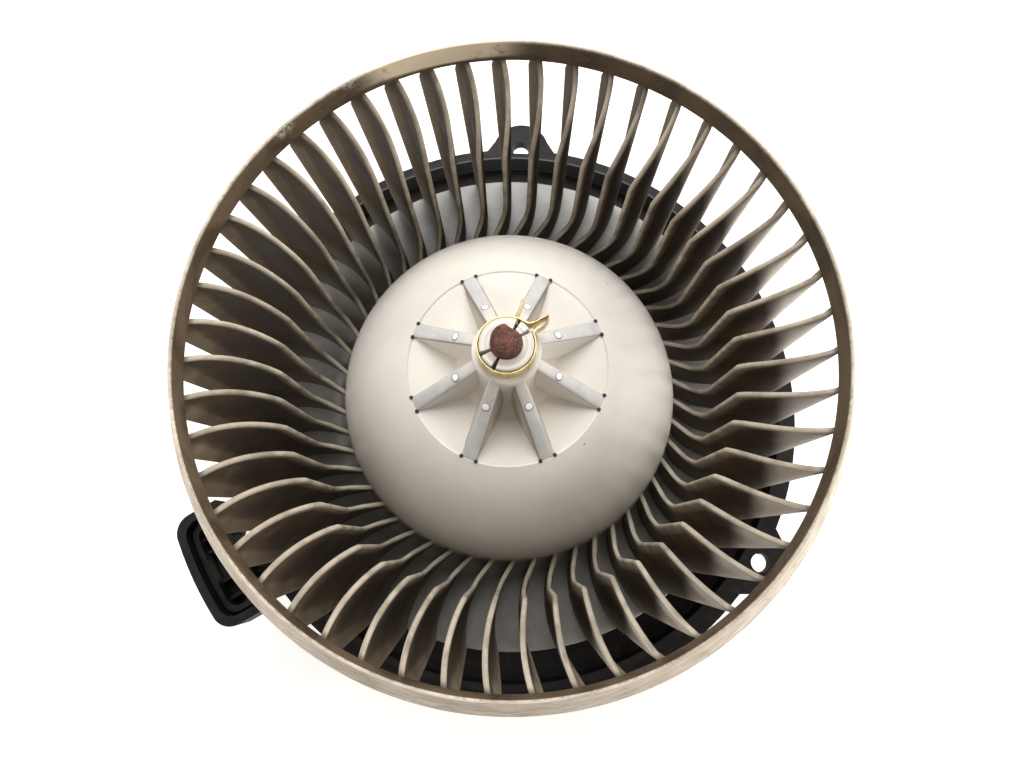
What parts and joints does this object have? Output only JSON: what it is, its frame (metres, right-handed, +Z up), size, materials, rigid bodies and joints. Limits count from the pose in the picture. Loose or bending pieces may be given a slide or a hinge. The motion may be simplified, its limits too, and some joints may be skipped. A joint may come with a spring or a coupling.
{
  "type": "cabin blower motor",
  "caption": "Cabin blower motor: a bladed fan wheel on an electric motor, held by a round mounting flange with screw ears, an open side tray and a connector.",
  "frame": {"origin": "centre of the flat rest face under the motor cup, on the motor's axis", "axes": "+Z up along the motor's shaft towards the wheel's nose; +X to the right and +Y away, as the picture shows the part from above"},
  "size_m": [0.1989, 0.1919, 0.1293],
  "materials": {
    "wheel_plastic": "satin, soiled",
    "clip_brass": "satin",
    "rusty_steel": "rusted",
    "lamination_steel": "matte",
    "enamelled_copper": "glossy",
    "commutator_copper": "machined",
    "white_plastic": "matte",
    "black_plastic": "satin",
    "zinc_steel": "zinc plated",
    "sintered_bronze": "matte",
    "spring_steel": "satin",
    "ferrite": "matte",
    "phenolic": "matte",
    "carbon": "matte",
    "terminal_brass": "satin",
    "connector_plastic": "satin"
  },
  "bodies": {
    "rotor": {"fan_wheel": "wheel_plastic", "spring_clip": "clip_brass", "motor_shaft": "rusty_steel", "armature_core": "lamination_steel", "armature_winding": "enamelled_copper", "commutator": "commutator_copper", "shaft_spacers": "white_plastic"},
    "motor": {"mounting_flange": "black_plastic", "motor_can": "zinc_steel", "end_plate": "zinc_steel", "front_bearing": "sintered_bronze", "rear_bearing": "sintered_bronze", "front_bearing_retainer": "spring_steel", "rear_bearing_retainer": "spring_steel", "magnet_left": "ferrite", "magnet_right": "ferrite", "magnet_springs": "spring_steel", "brush_plate": "phenolic", "brush_left": "carbon", "brush_right": "carbon", "brush_guides": "terminal_brass", "brush_springs": "spring_steel", "connector_housing": "connector_plastic", "connector_terminals": "terminal_brass", "motor_screws": "zinc_steel"}
  },
  "joints": [
    {"name": "fan_spin", "type": "hinge", "parent": "motor", "child": "rotor", "pos_m": [0, 0, 0.08], "axis": [0, 0, 1], "continuous": true}
  ]
}
